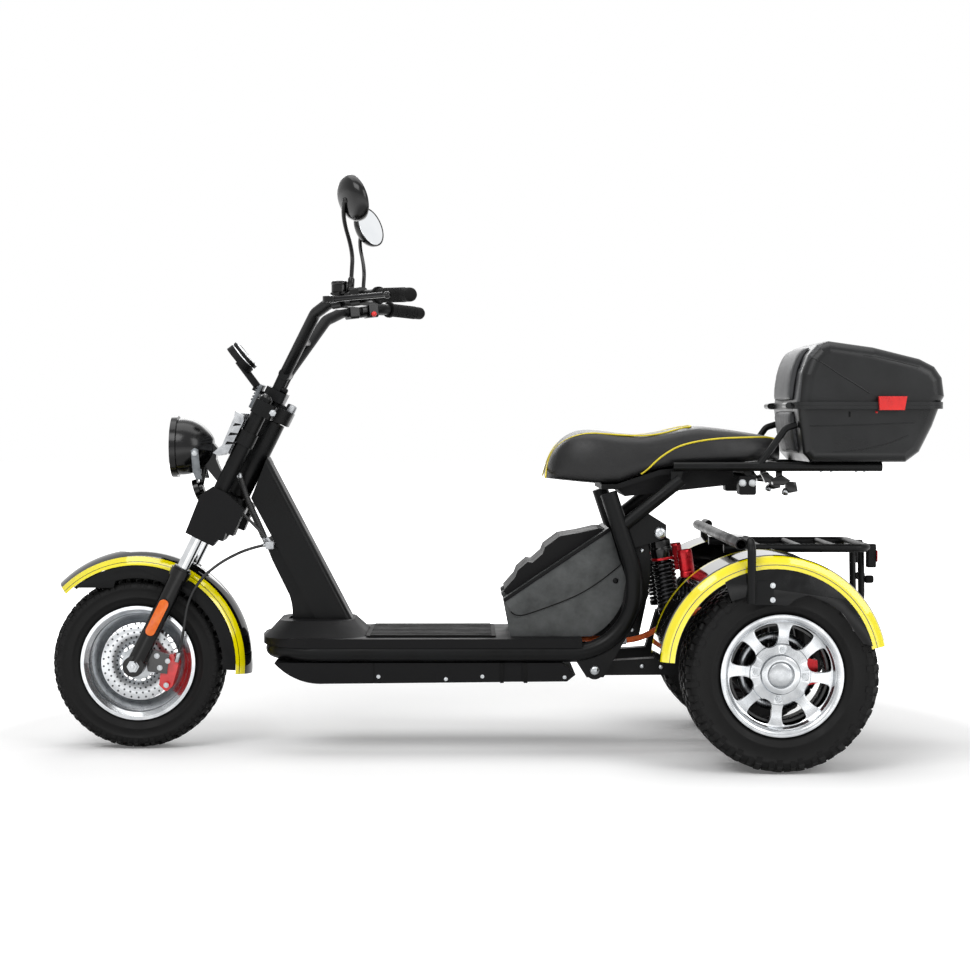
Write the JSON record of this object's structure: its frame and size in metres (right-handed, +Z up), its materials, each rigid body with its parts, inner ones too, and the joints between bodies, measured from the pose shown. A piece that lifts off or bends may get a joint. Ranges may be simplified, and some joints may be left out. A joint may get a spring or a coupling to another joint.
{
  "type": "electric tricycle",
  "caption": "Electric tricycle with a spoked front wheel, wide rear wheels, a foot deck, long seat and rear top box.",
  "frame": {"origin": "on the floor, under the middle of the overall box", "axes": "+X forward, +Y to the rider's left, +Z up"},
  "size_m": [2.1229, 0.881, 1.3455],
  "materials": {
    "black_plastic": "matte",
    "black_rubber": "matte",
    "black_vinyl": "grained",
    "box_plastic": "grained matte",
    "chrome": "polished",
    "fender_paint": "gloss",
    "grey_plastic": "scuffed matte",
    "grey_vinyl": "grained",
    "lamp_black": "gloss",
    "lamp_glass": "clear",
    "lamp_plastic": "gloss",
    "mirror_black": "gloss",
    "motor_paint": "satin",
    "polished_aluminium": "polished",
    "red_caliper": "gloss",
    "red_plastic": "gloss",
    "satin_aluminium": "satin",
    "satin_black_paint": "satin",
    "shock_black": "gloss",
    "slider_black": "satin",
    "tyre_rubber": "matte",
    "wheel_steel": "brushed"
  },
  "bodies": {
    "chassis": {"frame_neck": "satin_black_paint", "frame_rail_left": "satin_black_paint", "frame_rail_right": "satin_black_paint", "deck_shell": "black_plastic", "deck_mat": "black_rubber", "belly_box": "black_plastic", "battery_housing": "grey_plastic", "seat": "black_vinyl", "seat_tray": "black_plastic", "rear_subframe": "satin_black_paint", "box_base": "box_plastic", "box_pad": "grey_vinyl", "swing_arm": "satin_black_paint", "motor_axle": "motor_paint", "shock_left": "shock_black", "shock_right": "shock_black", "rear_fender_left": "fender_paint", "rear_fender_right": "fender_paint", "guard_bar": "satin_black_paint", "rear_rack": "satin_black_paint", "rear_lamps": "lamp_plastic", "rear_calipers": "red_caliper"},
    "steering": {"fork_yokes": "satin_black_paint", "fork_stanchions": "chrome", "fork_sliders": "slider_black", "fork_shroud": "black_plastic", "front_fender": "fender_paint", "handlebar": "satin_black_paint", "grips": "black_rubber", "controls": "black_plastic", "mirrors": "mirror_black", "headlight": "lamp_black", "headlight_lens": "lamp_glass", "fairing": "satin_aluminium", "speedometer": "black_plastic", "front_caliper": "red_caliper"},
    "front_wheel": {"front_tyre": "tyre_rubber", "front_rim": "polished_aluminium", "front_hub": "wheel_steel"},
    "rear_wheel_left": {"rear_tyre_left": "tyre_rubber", "rear_rim_left": "polished_aluminium"},
    "rear_wheel_right": {"rear_tyre_right": "tyre_rubber", "rear_rim_right": "polished_aluminium"},
    "box_lid": {"box_lid": "box_plastic", "lid_pad": "grey_vinyl", "box_latches": "red_plastic"},
    "battery_cover": {"battery_cover": "black_plastic"}
  },
  "joints": [
    {"name": "steer", "type": "hinge", "parent": "chassis", "child": "steering", "pos_m": [0.82315, 0, 0.19561], "axis": [-0.4462, 0, 0.8949], "range_deg": [-32, 32]},
    {"name": "front_wheel_spin", "type": "hinge", "parent": "steering", "child": "front_wheel", "pos_m": [0.85, 0, 0.209], "axis": [0, 1, 0], "continuous": true},
    {"name": "rear_wheel_left_spin", "type": "hinge", "parent": "chassis", "child": "rear_wheel_left", "pos_m": [-0.65, 0.315, 0.222], "axis": [0, 1, 0], "continuous": true},
    {"name": "rear_wheel_right_spin", "type": "hinge", "parent": "chassis", "child": "rear_wheel_right", "pos_m": [-0.65, -0.315, 0.222], "axis": [0, 1, 0], "continuous": true},
    {"name": "box_lid_hinge", "type": "hinge", "parent": "chassis", "child": "box_lid", "pos_m": [-0.698, 0, 0.829], "axis": [0, 1, 0], "range_deg": [0, 80]},
    {"name": "battery_cover_hinge", "type": "hinge", "parent": "chassis", "child": "battery_cover", "pos_m": [-0.03063, 0, 0.37833], "axis": [0, 1, 0], "range_deg": [0, 80]}
  ]
}
